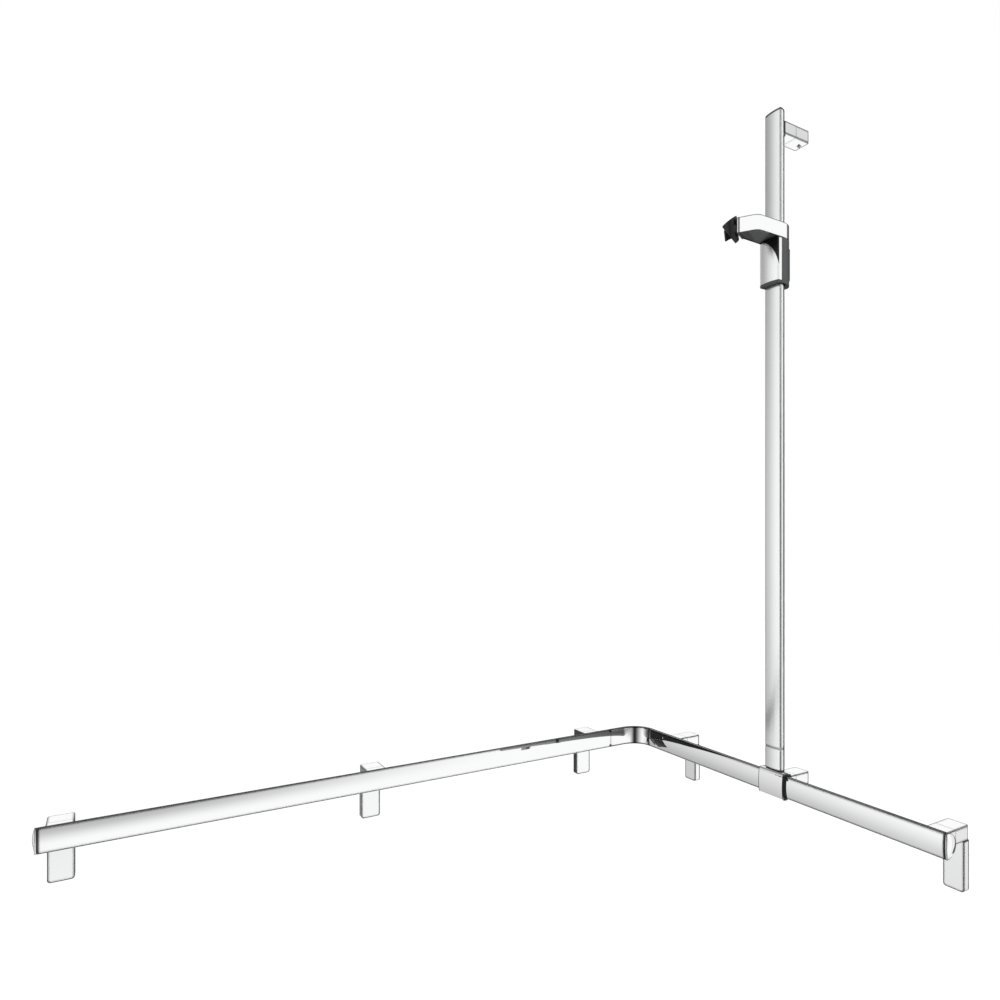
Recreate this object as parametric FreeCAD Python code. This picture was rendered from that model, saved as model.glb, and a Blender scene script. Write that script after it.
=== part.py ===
import FreeCAD, Part
import math
import os

V = FreeCAD.Vector

# Frame: the origin lies on the side wall, behind the upright rail, at the height of the hand rail's middle.
# +X points into the side wall, +Y points along it to the back wall, +Z is up.
# The short leg and the upright hang on the side wall, x = 0. The long leg hangs on the back wall.

# Rail profile, shared by the hand rail and the upright
PROFILE_HEIGHT = 40.0
PROFILE_BACK = 23.0
FRONT_CROWN = 2.0
FRONT_EDGE_RADIUS = 1.2
TUBE_WALL = 2.0
EDGE_FROM_WALL = 79.0

# Hand rail, measured from the room's corner
LONG_LEG = 1190.0
SHORT_LEG = 872.0
FIRST_BRACKET = 190.0
LONG_LAST_INSET = 30.0
SHORT_LAST_INSET = 32.0
ELBOW_RADIUS = 42.0
ELBOW_TAIL_LONG = 36.0
ELBOW_TAIL_SHORT = 1.5
SPIGOT_LENGTH = 24.0
SPIGOT_SCREW_INSET = 9.0
SPIGOT_WALL = 3.0
SPIGOT_CLEARANCE = 0.15
CAP_THICKNESS = 3.5
CAP_PLUG = 14.0
CAP_EDGE_RADIUS = 1.2
SEAM_WIDTH = 1.2
SEAM_DEPTH = 0.6

# Wall brackets
BRACKET_WIDTH = 36.0
BRACKET_CORNER = 4.0
ARM_TOP = 12.0
ARM_HEIGHT = 23.0
ARM_WALL = 1.8
ARM_POCKET_DEPTH = 36.0
ARM_EDGE_RADIUS = 0.8
COVER_THICKNESS = 13.5
COVER_DROP = 80.0
COVER_WALL = 1.8
COVER_CORNER = 5.0
PLATE_THICKNESS = 4.0
PLATE_CLEARANCE = 0.3
PLATE_CORNER = 3.0
WALL_HOLE_RADIUS = 2.75
WALL_SINK_RADIUS = 5.0
WALL_SINK_DEPTH = 1.6
WALL_HOLE_PITCH = 44.0
WALL_HOLE_DROP = 19.0
TOP_HOLE_PITCH = 20.0
LUG_WIDTH = 12.0
LUG_LENGTH = 10.0
LUG_THICKNESS = 3.0
LOCK_SCREW_RADIUS = 2.0
LOCK_SCREW_LENGTH = 8.0

# Bolts that hold the rails to the bracket arms
BOLT_RADIUS = 3.0
BOLT_HEAD_RADIUS = 5.0
BOLT_HEAD_HEIGHT = 4.0
BOLT_CLEARANCE = 0.3
THREAD_CLEARANCE = 0.05
NUT_RADIUS = 7.0
NUT_LENGTH = 8.0
KEY_ACROSS = 2.5
KEY_DEPTH = 2.2

# Upright rail and the tee that carries it
UPRIGHT_TOP = 1253.0
UPRIGHT_SEAM = 67.0
TOP_BRACKET_DROP = 21.0
TOP_CAP_THICKNESS = 2.0
TEE_LENGTH = 62.0
TEE_SHELL = 1.5
TEE_LINER = 3.5
TEE_LIP_DEPTH = 16.0
TEE_GASKET = 1.0
TEE_BOLT_DEPTH = 7.0
SPLICE_REACH = 42.0
SPLICE_WALL = 4.0
SPLICE_FLOOR = 10.0
TAP_SCREW_RADIUS = 2.0
TAP_HEAD_RADIUS = 3.6
TAP_HEAD_HEIGHT = 1.6
TAP_SCREW_LENGTH = 8.5
TAP_SINK = 0.5

# Slider body: like the rail's profile, but larger
SLIDER_DROP = 213.5
SLIDER_WIDTH = 49.0
SLIDER_PROUD = 10.0
SLIDER_DEPTH = 35.0
SLIDER_CROWN = 3.5
SLIDER_EDGE_RADIUS = 3.0
SLIDER_BODY_HEIGHT = 83.0
SHELL_THICKNESS = 1.5
SHELL_RETURN = 10.0
FLANGE_HEIGHT = 2.5
CARRIAGE_GAP = 1.8
GLIDE_GAP = 0.3
GLIDE_HEIGHT = 12.0
GLIDE_INSET = 8.0

# Slider arm: flush with the body's sides, then turned at the elbow towards the socket
ARM_SHELL_HEIGHT = 29.0
ARM_SHELL_WALL = 2.0
ARM_ROOF_GAP = 1.0
ARM_REACH = 139.5
ARM_ELBOW_RADIUS = 16.0
HEAD_LENGTH = 36.5
HEAD_WIDTH = 31.0
HEAD_TURN = 60.0
HEAD_EDGE_RADIUS = 0.5
CORE_INSET = 1.0
CORE_THICKNESS = 3.0

# Release lever and brake
LEVER_WIDTH = 29.0
LEVER_PROUD = 1.3
LEVER_THICKNESS = 3.5
LEVER_LENGTH = 60.0
LEVER_TOP_DROP = 11.5
LEVER_GAP = 1.0
LEVER_TOP_GAP = 2.0
LEVER_CORNER = 4.0
LEVER_PIN_OUT = 50.0
LEVER_PIN_DROP = 3.5
LEVER_PIN_RADIUS = 1.2
LEVER_PIN_HALF = 8.5
LEVER_PIN_CLEARANCE = 0.05
KNUCKLE_RADIUS = 2.2
KNUCKLE_HALF = 5.5
KNUCKLE_GAP = 0.7
SPRING_WIRE = 0.5
SPRING_RADIUS = 1.6
SPRING_TURNS = 4.0
SPRING_NOTCH = 6.0
SHOE_WIDTH = 14.0
SHOE_HEIGHT = 12.0
SHOE_DROP = 13.0
SHOE_GAP = 0.3
SHOE_SLOT_GAP = 1.6

# Hand shower socket and its swivel
RING_THICKNESS = 4.0
SHAFT_RADIUS = 5.0
SHAFT_CLEARANCE = 0.05
SWIVEL_GAP = 0.3
SWIVEL_NUT_RADIUS = 8.0
SWIVEL_NUT_THICKNESS = 5.0
WASHER_THICKNESS = 1.2
BEARING_LENGTH = 15.0
SOCKET_RADIUS = 14.2
SOCKET_BORE_TOP = 12.0
SOCKET_BORE_BOTTOM = 10.8
SOCKET_LENGTH = 34.5
SOCKET_DROP = 19.7
SOCKET_STANDOFF = 2.8
SOCKET_TILT = 22.0
SOCKET_SLIT = 8.0
SOCKET_MOUTH_SLOPE = 28.0
SOCKET_FOOT_SLOPE = 24.0
SOCKET_FRONT_SLOPE = 36.0
SOCKET_NECK_RADIUS = 11.0

# Derived places
HALF = PROFILE_HEIGHT / 2
RAIL_BACK_OUT = EDGE_FROM_WALL - PROFILE_BACK
LONG_PITCH = (LONG_LEG - LONG_LAST_INSET - FIRST_BRACKET) / 2
SHORT_PITCH = (SHORT_LEG - SHORT_LAST_INSET - FIRST_BRACKET) / 2
CORNER_Y = FIRST_BRACKET + SHORT_PITCH
LONG_BRACKETS = {
    "long_inner": FIRST_BRACKET,
    "long_middle": FIRST_BRACKET + LONG_PITCH,
    "long_outer": FIRST_BRACKET + 2 * LONG_PITCH,
}
SHORT_BRACKETS = {
    "short_inner": FIRST_BRACKET,
    "short_middle": FIRST_BRACKET + SHORT_PITCH,
    "short_outer": FIRST_BRACKET + 2 * SHORT_PITCH,
}
BEHIND_UPRIGHT = "short_middle"
BEND_START = EDGE_FROM_WALL + ELBOW_RADIUS
LONG_SEAM = BEND_START + ELBOW_TAIL_LONG
SHORT_SEAM = BEND_START + ELBOW_TAIL_SHORT
ARM_BOTTOM = ARM_TOP - ARM_HEIGHT
COVER_BOTTOM = ARM_BOTTOM - COVER_DROP
ARM_MIDDLE = (ARM_BOTTOM + ARM_TOP) / 2
TEE_GROW = TEE_SHELL + TEE_LINER
UPSTAND_BOTTOM = HALF + TEE_GROW + TEE_GASKET
TOP_BRACKET_TOP = UPRIGHT_TOP - TOP_BRACKET_DROP
SLIDER_TOP = UPRIGHT_TOP - SLIDER_DROP
SLIDER_ARM_BOTTOM = SLIDER_TOP - ARM_SHELL_HEIGHT
SLIDER_BOTTOM = SLIDER_ARM_BOTTOM - SLIDER_BODY_HEIGHT
PLATE_WIDTH = BRACKET_WIDTH - 2 * COVER_WALL - 2 * PLATE_CLEARANCE
OVERCUT = 1.0

UP = V(0, 0, 1)
ALONG_X = V(1, 0, 0)
ALONG_Y = V(0, 1, 0)


def export(shape, name):
    shape.exportStep("parts/" + name + ".step")


def box(x0, x1, y0, y1, z0, z1):
    return Part.makeBox(x1 - x0, y1 - y0, z1 - z0, V(x0, y0, z0))


def rod(radius, start, direction, length):
    return Part.makeCylinder(radius, length, start, direction)


# A turned solid: the outline is a list of radius and distance along the axis
def turned(outline, start, direction):
    side = direction.cross(UP if abs(direction.z) < 0.5 else ALONG_X).normalize()
    corners = [start + side * radius + direction * along for radius, along in outline]
    face = Part.Face(Part.makePolygon(corners + corners[:1]))
    return face.revolve(start, direction, 360)


def fillet_edges(shape, radius, chosen):
    edges = [edge for edge in shape.Edges if chosen(edge)]
    return shape.makeFillet(radius, edges) if edges else shape


def middle(edge):
    return edge.valueAt((edge.FirstParameter + edge.LastParameter) / 2)


def runs_along(edge, direction):
    span = edge.Vertexes[-1].Point.sub(edge.Vertexes[0].Point)
    return span.Length > 0.01 and abs(span.normalize().dot(direction)) > 0.999


def group(solids):
    return Part.makeCompound(solids)


# Rail profile: a gently crowned front between two crisp edges, and half an ellipse behind
def profile_edge(grow):
    edge = -grow
    turn = math.asin(max(edge, 0.0) / (PROFILE_BACK + grow))
    return edge, (HALF + grow) * math.cos(turn)


def bow_wire(origin, back, across, half, depth, edge, crown):
    trim = max(edge, 0.0)
    turn = math.asin(trim / depth)
    corner = half * math.cos(turn)

    def at(b, h):
        return origin + back * b + across * h

    pieces = [Part.Arc(at(edge, corner), at(edge - crown, 0), at(edge, -corner)).toShape()]
    if depth >= half:
        ellipse = Part.Ellipse(at(depth, 0), at(0, half), at(0, 0))
        pieces.append(ellipse.toShape(turn - math.pi / 2, math.pi / 2 - turn))
    else:
        ellipse = Part.Ellipse(at(0, half), at(depth, 0), at(0, 0))
        pieces.append(ellipse.toShape(turn, math.pi - turn))
    if edge < 0:
        pieces.append(Part.LineSegment(at(edge, half), at(0, half)).toShape())
        pieces.append(Part.LineSegment(at(edge, -half), at(0, -half)).toShape())
    return Part.Wire(Part.__sortEdges__(pieces))


def profile_wire(origin, back, across, grow):
    return bow_wire(origin, back, across, HALF + grow, PROFILE_BACK + grow, -grow, FRONT_CROWN)


def profile_bar(origin, back, across, run, grow=0.0):
    bar = Part.Face(profile_wire(origin, back, across, grow)).extrude(run)
    edge_depth, corner = profile_edge(grow)
    radius = max(FRONT_EDGE_RADIUS + grow, 0.3)
    direction = V(run).normalize()

    def front_edge(edge):
        offset = middle(edge) - origin
        depth_off = abs(offset.dot(back) - edge_depth)
        height_off = abs(abs(offset.dot(across)) - corner)
        return depth_off < 0.1 and height_off < 0.1 and runs_along(edge, direction)

    return fillet_edges(bar, radius, front_edge)


def tube(origin, back, across, run):
    extra = V(run).normalize() * OVERCUT
    outer = profile_bar(origin, back, across, run)
    inner = profile_bar(origin - extra, back, across, run + extra * 2, -TUBE_WALL)
    return outer.cut(inner)


def long_origin(distance):
    return V(-distance, CORNER_Y - EDGE_FROM_WALL, 0)


def short_origin(distance):
    return V(-EDGE_FROM_WALL, CORNER_Y - distance, 0)


def upright_origin(height):
    return V(-EDGE_FROM_WALL, 0, height)


def long_bar(start, end, grow=0.0):
    return profile_bar(long_origin(end), ALONG_Y, UP, ALONG_X * (end - start), grow)


def short_bar(start, end, grow=0.0):
    return profile_bar(short_origin(end), ALONG_X, UP, ALONG_Y * (end - start), grow)


def upright_bar(bottom, top, grow=0.0):
    return profile_bar(upright_origin(bottom), ALONG_X, ALONG_Y, UP * (top - bottom), grow)


# The fine groove round a rail where two pieces meet
def seam_groove(bar, at):
    low = at - SEAM_WIDTH / 2
    high = at + SEAM_WIDTH / 2
    return bar(low, high, OVERCUT).cut(bar(low - OVERCUT, high + OVERCUT, -SEAM_DEPTH))


def long_seams():
    return [seam_groove(long_bar, LONG_SEAM), seam_groove(long_bar, LONG_LEG - CAP_THICKNESS)]


def short_seams():
    return [seam_groove(short_bar, SHORT_SEAM), seam_groove(short_bar, SHORT_LEG - CAP_THICKNESS)]


def bolt_hole(start, outward):
    return rod(BOLT_RADIUS + BOLT_CLEARANCE, start, outward, EDGE_FROM_WALL - PROFILE_BACK / 2)


# A short countersunk screw that pins a spigot or splice through the back of a rail
def tap_screw(tip_side, inward):
    outline = [(0, 0), (TAP_HEAD_RADIUS, 0), (TAP_SCREW_RADIUS, TAP_HEAD_HEIGHT),
               (TAP_SCREW_RADIUS, TAP_SCREW_LENGTH), (0, TAP_SCREW_LENGTH)]
    return turned(outline, tip_side, inward).cut(hex_key(tip_side, inward, KEY_ACROSS, TAP_HEAD_HEIGHT))


def tap_hole(tip_side, inward, clearance):
    mouth = TAP_HEAD_RADIUS + clearance
    bore = TAP_SCREW_RADIUS + clearance
    end = TAP_SCREW_LENGTH + OVERCUT
    start = -TAP_SINK - OVERCUT
    outline = [(0, start), (mouth, start), (mouth, 0), (bore, TAP_HEAD_HEIGHT), (bore, end), (0, end)]
    return turned(outline, tip_side, inward)


def elbow_screw_places():
    out = RAIL_BACK_OUT + TAP_SINK
    long_place = V(-LONG_SEAM - SPIGOT_SCREW_INSET, CORNER_Y - out, 0)
    short_place = V(-out, CORNER_Y - SHORT_SEAM - SPIGOT_SCREW_INSET, 0)
    return [(long_place, ALONG_Y * -1), (short_place, ALONG_X * -1)]


def splice_screw_places():
    out = RAIL_BACK_OUT + TAP_SINK
    low = V(-out, 0, UPRIGHT_SEAM - SPLICE_REACH / 3)
    high = V(-out, 0, UPRIGHT_SEAM + SPLICE_REACH / 2)
    return [(low, ALONG_X * -1), (high, ALONG_X * -1)]


def cut_tap_holes(shape, places, clearance):
    for place, inward in places:
        shape = shape.cut(tap_hole(place, inward, clearance))
    return shape


def long_rail():
    run = ALONG_X * (LONG_LEG - CAP_THICKNESS - LONG_SEAM)
    rail = tube(long_origin(LONG_LEG - CAP_THICKNESS), ALONG_Y, UP, run)
    for distance in LONG_BRACKETS.values():
        rail = rail.cut(bolt_hole(V(-distance, CORNER_Y, ARM_MIDDLE), ALONG_Y * -1))
    return cut_tap_holes(rail.cut(long_seams()), elbow_screw_places(), THREAD_CLEARANCE)


def tee_bolt_place(height):
    return V(-EDGE_FROM_WALL + TEE_BOLT_DEPTH, 0, height)


def short_rail():
    run = ALONG_Y * (SHORT_LEG - CAP_THICKNESS - SHORT_SEAM)
    rail = tube(short_origin(SHORT_LEG - CAP_THICKNESS), ALONG_X, UP, run)
    for distance in SHORT_BRACKETS.values():
        rail = rail.cut(bolt_hole(V(0, CORNER_Y - distance, ARM_MIDDLE), ALONG_X * -1))
    rail = rail.cut(tee_bolt_bore(BOLT_RADIUS + BOLT_CLEARANCE, -HALF - OVERCUT, HALF + OVERCUT))
    return cut_tap_holes(rail.cut(short_seams()), elbow_screw_places(), THREAD_CLEARANCE)


# Corner elbow: one bent casting with a spigot at each end that plugs into the rails
def elbow_sweep(grow):
    face = Part.Face(profile_wire(short_origin(BEND_START), ALONG_X, UP, grow))
    bend = face.revolve(V(-BEND_START, CORNER_Y - BEND_START, 0), UP, 90)
    edge_depth, corner = profile_edge(grow)
    radius = max(FRONT_EDGE_RADIUS + grow, 0.3)

    def front_edge(edge):
        point = middle(edge)
        reach = math.hypot(point.x + BEND_START, point.y - CORNER_Y + BEND_START)
        return abs(reach - ELBOW_RADIUS - edge_depth) < 0.1 and abs(abs(point.z) - corner) < 0.1

    return fillet_edges(bend, radius, front_edge)


def corner_elbow():
    fit = -TUBE_WALL - SPIGOT_CLEARANCE
    outer = elbow_sweep(0.0)
    outer = outer.fuse(long_bar(BEND_START, LONG_SEAM)).fuse(short_bar(BEND_START, SHORT_SEAM))
    outer = outer.fuse(long_bar(LONG_SEAM, LONG_SEAM + SPIGOT_LENGTH, fit))
    outer = outer.fuse(short_bar(SHORT_SEAM, SHORT_SEAM + SPIGOT_LENGTH, fit))
    bore = fit - SPIGOT_WALL
    inner = elbow_sweep(bore)
    inner = inner.fuse(long_bar(BEND_START, LONG_SEAM + SPIGOT_LENGTH + OVERCUT, bore))
    inner = inner.fuse(short_bar(BEND_START, SHORT_SEAM + SPIGOT_LENGTH + OVERCUT, bore))
    elbow = outer.cut(inner).cut([long_seams()[0], short_seams()[0]])
    return cut_tap_holes(elbow, elbow_screw_places(), THREAD_CLEARANCE)


def cap(origin, back, across, outward, thickness):
    head = profile_bar(origin, back, across, outward * thickness)
    radius = min(CAP_EDGE_RADIUS, thickness * 0.6)

    def rim(edge):
        offset = (middle(edge) - origin).dot(outward)
        return abs(offset - thickness) < 0.01 and not runs_along(edge, outward)

    head = fillet_edges(head, radius, rim)
    fit = -TUBE_WALL - SPIGOT_CLEARANCE
    plug = profile_bar(origin - outward * CAP_PLUG, back, across, outward * CAP_PLUG, fit)
    below = origin - outward * (CAP_PLUG + OVERCUT)
    hollow = profile_bar(below, back, across, outward * CAP_PLUG, fit - SPIGOT_WALL)
    return head.fuse(plug.cut(hollow))


# Wall bracket: built on the side wall at the origin, then turned and moved to its place
def bracket_block(bottom, top, depth):
    half = BRACKET_WIDTH / 2
    block = box(-depth, 0, -half, half, bottom, top)
    return fillet_edges(block, BRACKET_CORNER,
                        lambda edge: runs_along(edge, UP) and abs(middle(edge).x) < 0.01)


def arm_bore(bottom, top):
    mid = (bottom + top) / 2
    half = PLATE_WIDTH / 2 + PLATE_CLEARANCE
    pocket = box(-ARM_POCKET_DEPTH, OVERCUT, -half, half, bottom + ARM_WALL, top - ARM_WALL)
    return pocket.fuse(rod(BOLT_RADIUS + BOLT_CLEARANCE, V(0, 0, mid), ALONG_X * -1, EDGE_FROM_WALL))


def lock_screw_out():
    return PLATE_THICKNESS + LUG_LENGTH / 2


def lock_hole(bottom):
    start = V(-lock_screw_out(), 0, bottom - OVERCUT)
    return rod(LOCK_SCREW_RADIUS + BOLT_CLEARANCE, start, UP, ARM_WALL + 2 * OVERCUT)


def bracket_arm(bottom, top, seat, has_cover):
    arm = bracket_block(bottom, top, EDGE_FROM_WALL)
    arm = fillet_edges(arm, ARM_EDGE_RADIUS,
                       lambda edge: runs_along(edge, ALONG_X) and abs(middle(edge).x) > 0.01)
    arm = arm.cut(arm_bore(bottom, top)).cut(seat).cut(lock_hole(bottom))
    if has_cover:
        half = PLATE_WIDTH / 2 + PLATE_CLEARANCE
        slot = box(-PLATE_THICKNESS - PLATE_CLEARANCE, OVERCUT, -half, half,
                   bottom - OVERCUT, bottom + ARM_WALL + OVERCUT)
        arm = arm.cut(slot)
    return max(arm.Solids, key=lambda solid: solid.BoundBox.XMax)


def bracket_cover():
    half = BRACKET_WIDTH / 2
    tray = box(-COVER_THICKNESS, 0, -half, half, COVER_BOTTOM, ARM_BOTTOM)
    tray = fillet_edges(tray, COVER_CORNER,
                        lambda edge: runs_along(edge, ALONG_X) and middle(edge).z < COVER_BOTTOM + 0.01)
    tray = fillet_edges(tray, ARM_EDGE_RADIUS, lambda edge: middle(edge).x < -COVER_THICKNESS + 0.01
                        and middle(edge).z < ARM_BOTTOM - 0.01)
    inner = half - COVER_WALL
    hollow = box(-COVER_THICKNESS + COVER_WALL, OVERCUT, -inner, inner,
                 COVER_BOTTOM + COVER_WALL, ARM_BOTTOM + OVERCUT)
    low = COVER_BOTTOM + COVER_WALL + 0.01
    hollow = fillet_edges(hollow, COVER_CORNER - COVER_WALL,
                          lambda edge: runs_along(edge, ALONG_X) and middle(edge).z < low)
    return tray.cut(hollow)


def wall_hole(y, z):
    end = PLATE_THICKNESS + OVERCUT
    outline = [(0, -OVERCUT), (WALL_SINK_RADIUS, -OVERCUT), (WALL_SINK_RADIUS, 0),
               (WALL_HOLE_RADIUS, WALL_SINK_DEPTH), (WALL_HOLE_RADIUS, end), (0, end)]
    return turned(outline, V(-PLATE_THICKNESS, y, z), ALONG_X)


def lug(bottom):
    low = bottom + ARM_WALL + PLATE_CLEARANCE
    half = LUG_WIDTH / 2
    tab = box(-PLATE_THICKNESS - LUG_LENGTH, -PLATE_THICKNESS, -half, half, low, low + LUG_THICKNESS)
    tip = -PLATE_THICKNESS - LUG_LENGTH + 0.01
    tab = fillet_edges(tab, LUG_THICKNESS, lambda edge: runs_along(edge, UP) and middle(edge).x < tip)
    start = V(-lock_screw_out(), 0, low - OVERCUT)
    bore = rod(LOCK_SCREW_RADIUS + THREAD_CLEARANCE, start, UP, LUG_THICKNESS + 2 * OVERCUT)
    return tab.cut(bore)


def plate_blank(bottom, top):
    half = PLATE_WIDTH / 2
    blank = box(-PLATE_THICKNESS, 0, -half, half, bottom, top)
    return fillet_edges(blank, PLATE_CORNER, lambda edge: runs_along(edge, ALONG_X))


def wall_hole_heights():
    high = ARM_BOTTOM - WALL_HOLE_DROP
    return [high, high - WALL_HOLE_PITCH]


def bracket_plate():
    plate = plate_blank(COVER_BOTTOM + COVER_WALL + PLATE_CLEARANCE, ARM_TOP - ARM_WALL - PLATE_CLEARANCE)
    plate = plate.fuse(lug(ARM_BOTTOM))
    for height in wall_hole_heights():
        plate = plate.cut(wall_hole(0, height))
    return plate


# The upright's two brackets have no cover: their plate fits inside the arm
def arm_plate(bottom):
    top = bottom + ARM_HEIGHT
    plate = plate_blank(bottom + ARM_WALL + PLATE_CLEARANCE, top - ARM_WALL - PLATE_CLEARANCE)
    plate = plate.fuse(lug(bottom))
    for side in (-1, 1):
        plate = plate.cut(wall_hole(side * TOP_HOLE_PITCH / 2, bottom + ARM_HEIGHT / 2))
    return plate


def rail_bolt(mid):
    seat = V(-ARM_POCKET_DEPTH, 0, mid)
    tip = RAIL_BACK_OUT + TUBE_WALL + NUT_LENGTH
    shank = rod(BOLT_RADIUS, seat, ALONG_X * -1, tip - ARM_POCKET_DEPTH)
    head = rod(BOLT_HEAD_RADIUS, seat, ALONG_X, BOLT_HEAD_HEIGHT)
    return shank.fuse(head).cut(hex_key(seat + ALONG_X * BOLT_HEAD_HEIGHT, ALONG_X * -1, KEY_ACROSS * 2))


def hex_key(face, inward, across, depth=KEY_DEPTH):
    radius = across / math.sqrt(3)
    side = inward.cross(UP if abs(inward.z) < 0.5 else ALONG_X)
    up = inward.cross(side)
    corners = [face + side * (radius * math.cos(math.pi * k / 3)) + up * (radius * math.sin(math.pi * k / 3))
               for k in range(7)]
    return Part.Face(Part.makePolygon(corners)).extrude(inward * depth)


def rail_nut(mid, cavity):
    start = V(-RAIL_BACK_OUT, 0, mid)
    length = TUBE_WALL + NUT_LENGTH
    blank = rod(NUT_RADIUS, start, ALONG_X * -1, length).common(cavity)
    return blank.cut(rod(BOLT_RADIUS + THREAD_CLEARANCE, start, ALONG_X * -1, length + OVERCUT))


def lock_screw(bottom):
    start = V(-lock_screw_out(), 0, bottom + ARM_WALL + PLATE_CLEARANCE + LUG_THICKNESS - LOCK_SCREW_LENGTH)
    screw = rod(LOCK_SCREW_RADIUS, start, UP, LOCK_SCREW_LENGTH)
    return screw.cut(hex_key(start, UP, KEY_ACROSS))


def on_side_wall(shape, distance):
    placed = shape.copy()
    placed.translate(V(0, CORNER_Y - distance, 0))
    return placed


def on_back_wall(shape, distance):
    placed = shape.copy()
    placed.rotate(V(0, 0, 0), UP, 90)
    placed.translate(V(-distance, CORNER_Y, 0))
    return placed


def hand_rail_placements():
    places = [(name, on_back_wall, distance) for name, distance in LONG_BRACKETS.items()]
    return places + [(name, on_side_wall, distance) for name, distance in SHORT_BRACKETS.items()]


def build_brackets():
    reach = BRACKET_WIDTH
    middle_out = CORNER_Y
    seat = short_bar(middle_out - reach, middle_out + reach)
    cavity = short_bar(middle_out - reach, middle_out + reach, -TUBE_WALL)
    covered_arm = bracket_arm(ARM_BOTTOM, ARM_TOP, seat, True)
    covered_plate = bracket_plate()
    plain_arm = bracket_arm(ARM_BOTTOM, ARM_TOP, seat, False)
    plain_plate = arm_plate(ARM_BOTTOM)
    cover = bracket_cover()
    bolt = rail_bolt(ARM_MIDDLE)
    nut = rail_nut(ARM_MIDDLE, cavity)
    lock = lock_screw(ARM_BOTTOM)
    bolts, nuts, locks = [], [], []
    for name, place, distance in hand_rail_placements():
        has_cover = name != BEHIND_UPRIGHT
        export(place(covered_arm if has_cover else plain_arm, distance), "bracket_arm_" + name)
        export(place(covered_plate if has_cover else plain_plate, distance), "bracket_plate_" + name)
        if has_cover:
            export(place(cover, distance), "bracket_cover_" + name)
        bolts.append(place(bolt, distance))
        nuts.append(place(nut, distance))
        locks.append(place(lock, distance))

    top_bottom = TOP_BRACKET_TOP - ARM_HEIGHT
    top_middle = top_bottom + ARM_HEIGHT / 2
    upright = upright_bar(top_bottom - reach, TOP_BRACKET_TOP + reach)
    upright_cavity = upright_bar(top_bottom - reach, TOP_BRACKET_TOP + reach, -TUBE_WALL)
    export(bracket_arm(top_bottom, TOP_BRACKET_TOP, upright, False), "top_bracket_arm")
    export(arm_plate(top_bottom), "top_bracket_plate")
    bolts.append(rail_bolt(top_middle))
    nuts.append(rail_nut(top_middle, upright_cavity))
    locks.append(lock_screw(top_bottom))
    export(group(bolts), "rail_bolts")
    export(group(nuts), "rail_nuts")
    export(group(locks), "locking_screws")


# Upright rail, its caps and the splice that joins it to the tee
def upright_rail():
    run = UP * (UPRIGHT_TOP - TOP_CAP_THICKNESS - UPRIGHT_SEAM)
    rail = tube(upright_origin(UPRIGHT_SEAM), ALONG_X, ALONG_Y, run)
    rail = rail.cut(bolt_hole(V(0, 0, TOP_BRACKET_TOP - ARM_HEIGHT / 2), ALONG_X * -1))
    rail = rail.cut(seam_groove(upright_bar, UPRIGHT_SEAM))
    return cut_tap_holes(rail, splice_screw_places(), THREAD_CLEARANCE)


def tee_envelope(grow):
    return short_bar(CORNER_Y - TEE_LENGTH / 2, CORNER_Y + TEE_LENGTH / 2, grow)


def tee_lips():
    half = TEE_LENGTH / 2 + OVERCUT
    reach = HALF + TEE_GROW + OVERCUT
    front = EDGE_FROM_WALL + FRONT_CROWN + TEE_GROW + OVERCUT
    return box(-front, -EDGE_FROM_WALL + TEE_LIP_DEPTH, -half, half, -reach, reach)


def tee_bolt_bore(radius, bottom, top):
    return rod(radius, tee_bolt_place(bottom), UP, top - bottom)


def tee_shell():
    shell = tee_envelope(TEE_GROW).cut(tee_envelope(TEE_LINER)).common(tee_lips())
    outer = HALF + TEE_GROW
    shell = shell.cut(tee_bolt_bore(BOLT_HEAD_RADIUS + BOLT_CLEARANCE, -outer - OVERCUT, 0))
    return shell.cut(tee_bolt_bore(BOLT_RADIUS + BOLT_CLEARANCE, 0, outer + OVERCUT))


def tee_liner():
    liner = tee_envelope(TEE_LINER).cut(tee_envelope(0.0)).common(tee_lips())
    return liner.cut(tee_bolt_bore(BOLT_RADIUS + BOLT_CLEARANCE, -HALF - TEE_GROW, HALF + TEE_GROW))


def tee_gasket():
    ring = upright_bar(0, UPSTAND_BOTTOM, -TUBE_WALL / 2)
    ring = ring.cut(tee_envelope(TEE_GROW)).common(tee_envelope(TEE_GROW + TEE_GASKET))
    ring = ring.cut(upright_bar(-OVERCUT, UPSTAND_BOTTOM + OVERCUT, -TUBE_WALL - SPIGOT_CLEARANCE))
    return max(ring.Solids, key=lambda solid: solid.Volume)


def upright_base():
    base = tube(upright_origin(0), ALONG_X, ALONG_Y, UP * UPRIGHT_SEAM)
    base = base.cut(tee_envelope(TEE_GROW + TEE_GASKET)).cut(seam_groove(upright_bar, UPRIGHT_SEAM))
    base = max(base.Solids, key=lambda solid: solid.BoundBox.ZMax)
    return cut_tap_holes(base, splice_screw_places(), THREAD_CLEARANCE)


def upright_splice():
    fit = -TUBE_WALL - SPIGOT_CLEARANCE
    bottom = HALF + TEE_GROW
    top = UPRIGHT_SEAM + SPLICE_REACH
    block = upright_bar(bottom, top, fit).cut(tee_envelope(TEE_GROW))
    hollow = upright_bar(bottom + SPLICE_FLOOR, top + OVERCUT, fit - SPLICE_WALL)
    block = block.cut(hollow)
    block = block.cut(tee_bolt_bore(BOLT_RADIUS + THREAD_CLEARANCE, 0, bottom + SPLICE_FLOOR + OVERCUT))
    return cut_tap_holes(block, splice_screw_places(), THREAD_CLEARANCE)


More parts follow.
